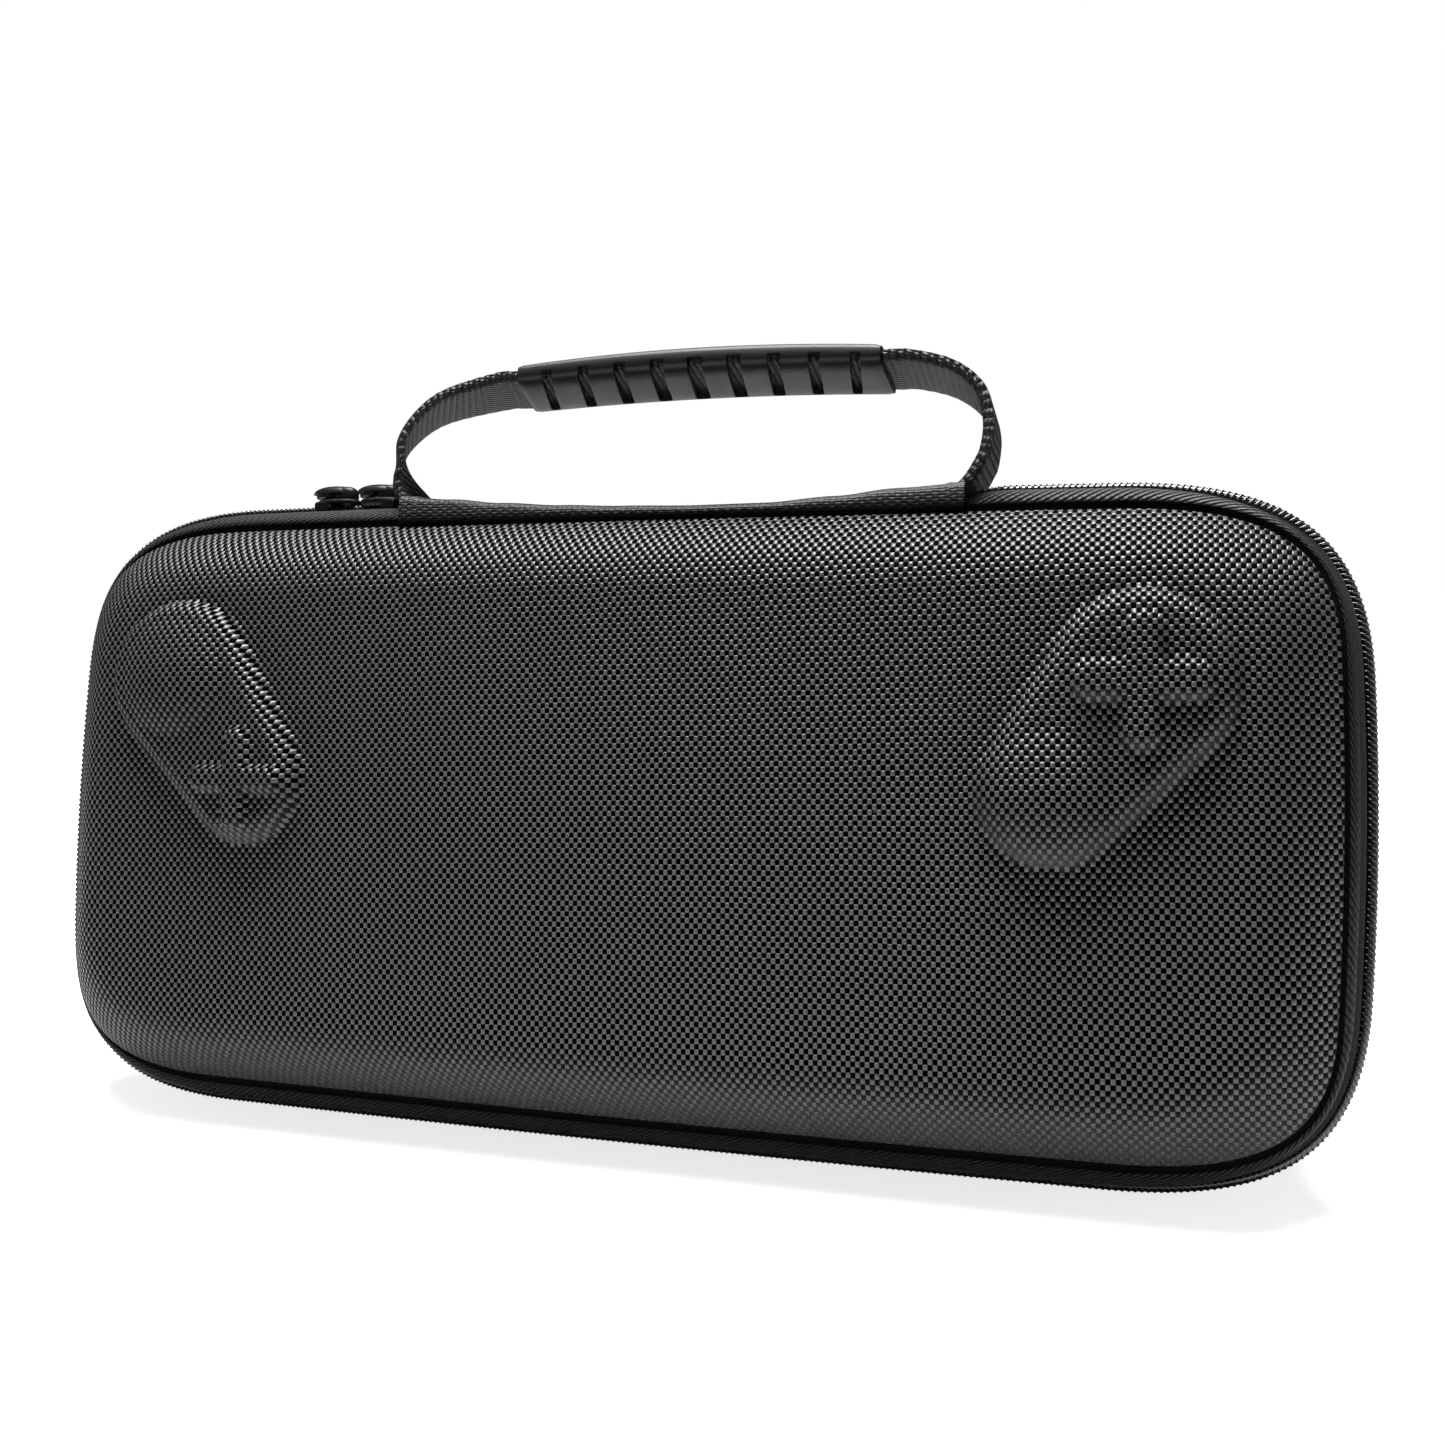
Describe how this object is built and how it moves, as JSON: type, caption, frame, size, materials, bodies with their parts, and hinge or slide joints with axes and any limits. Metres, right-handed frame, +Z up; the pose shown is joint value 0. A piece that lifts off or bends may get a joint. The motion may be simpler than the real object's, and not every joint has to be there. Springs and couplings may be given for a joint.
{
  "type": "handheld console bag",
  "caption": "Moulded zip-round carrying case for a handheld games console, with raised button reliefs on the lid, a webbing handle and a fitted cradle inside.",
  "frame": {"origin": "under the centre of the case's outer box, on the plane that it rests on", "axes": "+X along the case's length towards the viewer's right, +Y from the lid towards the base shell, +Z up; the case rests on the chain's long edge and on the base's lower edge and leans back by 9.7 degrees"},
  "size_m": [0.33, 0.0908, 0.1886],
  "materials": {
    "ballistic_weave": "charcoal woven laminate, faint sheen",
    "twill_tape": "fine black twill",
    "nylon_coil": "black nylon spiral",
    "binding_ribbon": "flat black ribbon",
    "ribbed_webbing": "black ribbed webbing",
    "grip_rubber": "matte charcoal rubber",
    "black_metal": "black enamelled metal",
    "flocked_lining": "dark brushed lining on moulded foam",
    "hook_and_loop": "black hook-and-loop tape",
    "mesh_net": "black elastic net"
  },
  "bodies": {
    "base": {"rear_shell": "ballistic_weave", "rear_zipper_tape": "twill_tape", "rear_zipper_coil": "nylon_coil", "rear_rim_binding": "binding_ribbon", "hinge_strip": "ballistic_weave", "console_cradle": "flocked_lining", "upper_strap": "ribbed_webbing", "lower_strap": "ribbed_webbing", "hook_patch": "hook_and_loop", "loop_patch": "hook_and_loop"},
    "lid": {"front_shell": "ballistic_weave", "front_zipper_tape": "twill_tape", "front_zipper_coil": "nylon_coil", "front_rim_binding": "binding_ribbon", "pocket_mesh": "mesh_net", "pocket_binding": "binding_ribbon"},
    "handle": {"handle_webbing": "ribbed_webbing", "handle_grip": "grip_rubber"},
    "left_slider": {"left_slider": "black_metal"},
    "right_slider": {"right_slider": "black_metal"},
    "left_pull": {"left_pull": "black_metal"},
    "right_pull": {"right_pull": "black_metal"}
  },
  "joints": [
    {"name": "lid_hinge", "type": "hinge", "parent": "base", "child": "lid", "pos_m": [0.006, -0.00933, 0.15725], "axis": [-1, 0, 0], "range_deg": [0, 120], "deforming": ["front_zipper_tape", "front_zipper_coil", "hinge_strip"]},
    {"name": "handle_hinge", "type": "hinge", "parent": "base", "child": "handle", "pos_m": [0.006, 0.00022, 0.15613], "axis": [-1, 0, 0], "range_deg": [-12, 75], "stiffness_Nm_per_rad": 0.03, "deforming": ["handle_webbing"]},
    {"name": "left_slider_slide", "type": "slide", "parent": "base", "child": "left_slider", "axis": [-1, -0.0014, -0.0084], "range_m": [0, 0.02]},
    {"name": "right_slider_slide", "type": "slide", "parent": "base", "child": "right_slider", "axis": [-1, -0.0012, -0.0072], "range_m": [0, 0.02]},
    {"name": "left_pull_swivel", "type": "hinge", "parent": "left_slider", "child": "left_pull", "pos_m": [-0.0924, 0.00056, 0.1581], "axis": [0, 0.1684, 0.9857], "range_deg": [0, 90]},
    {"name": "right_pull_swivel", "type": "hinge", "parent": "right_slider", "child": "right_pull", "pos_m": [-0.0795, 0.00056, 0.1581], "axis": [0, 0.1684, 0.9857], "range_deg": [-15, 10]}
  ],
  "couplings": [
    {"joint": "right_slider_slide", "follows": "left_slider_slide", "ratio": 1}
  ]
}
